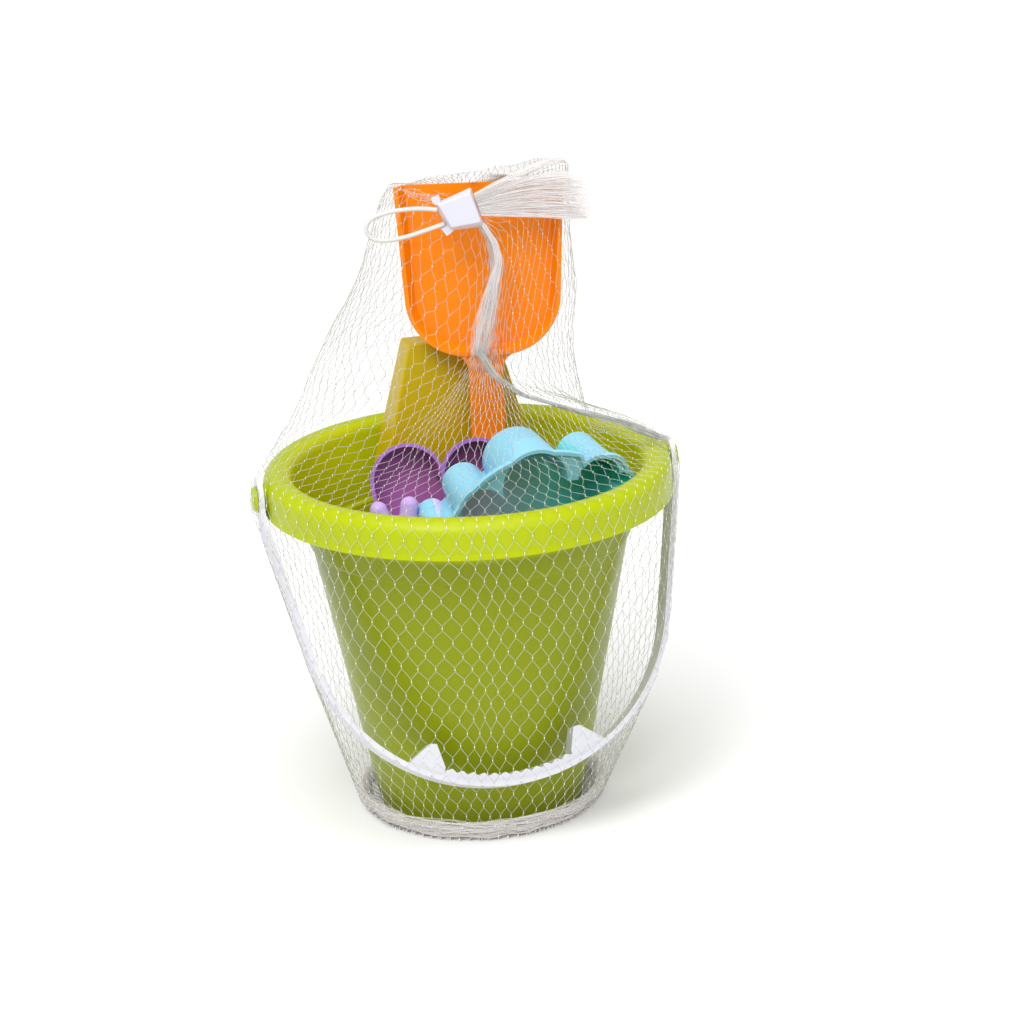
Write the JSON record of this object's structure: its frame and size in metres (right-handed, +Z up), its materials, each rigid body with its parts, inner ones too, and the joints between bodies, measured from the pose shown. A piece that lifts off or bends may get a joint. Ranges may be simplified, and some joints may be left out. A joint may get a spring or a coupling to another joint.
{
  "type": "sand bucket set",
  "caption": "Tapered sand bucket with a rolled rim and a swinging bail, packed with a spade and sand moulds inside a tied net bag with a clip and a cord loop.",
  "frame": {"origin": "on the ground under the middle of the bucket", "axes": "+Z up, X along the bail's hinge line, the bail hangs on the -Y side"},
  "size_m": [0.22, 0.22, 0.3215],
  "materials": {
    "bucket": "satin",
    "bail": "satin",
    "spade": "satin",
    "tower": "satin",
    "ice": "satin",
    "heart": "satin",
    "rabbit": "satin",
    "net": "matte",
    "clip": "matte",
    "cord": "matte"
  },
  "bodies": {
    "bucket": {"bucket_shell": "bucket", "net_base": "net", "net_skirt": "net", "net_cap": "net"},
    "bail": {"bail_handle": "bail"},
    "spade": {"spade": "spade", "net_clip": "clip", "cord_loop": "cord", "net_tuft": "net", "net_neck": "net"},
    "tower": {"tower_mould": "tower"},
    "ice": {"blue_mould": "ice"},
    "heart": {"purple_mould": "heart"},
    "rabbit": {"lilac_mould": "rabbit"}
  },
  "joints": [
    {"name": "bail_swing", "type": "hinge", "parent": "bucket", "child": "bail", "pos_m": [0, 0, 0.167], "axis": [-1, 0, 0], "range_deg": [0, 152], "deforming": ["net_skirt"]},
    {"name": "spade_lift", "type": "slide", "parent": "bucket", "child": "spade", "axis": [0, 0, 1], "range_m": [0, 0.045], "deforming": ["net_cap"]},
    {"name": "tower_lift", "type": "slide", "parent": "bucket", "child": "tower", "axis": [0, 0, 1], "range_m": [0, 0.045]},
    {"name": "ice_lift", "type": "slide", "parent": "bucket", "child": "ice", "axis": [0, 0, 1], "range_m": [0, 0.045]},
    {"name": "heart_lift", "type": "slide", "parent": "bucket", "child": "heart", "axis": [0, 0, 1], "range_m": [0, 0.045]},
    {"name": "rabbit_lift", "type": "slide", "parent": "bucket", "child": "rabbit", "axis": [0, 0, 1], "range_m": [0, 0.045]}
  ],
  "couplings": [
    {"joint": "tower_lift", "follows": "spade_lift", "ratio": 1},
    {"joint": "ice_lift", "follows": "spade_lift", "ratio": 1},
    {"joint": "heart_lift", "follows": "spade_lift", "ratio": 1},
    {"joint": "rabbit_lift", "follows": "spade_lift", "ratio": 1}
  ]
}
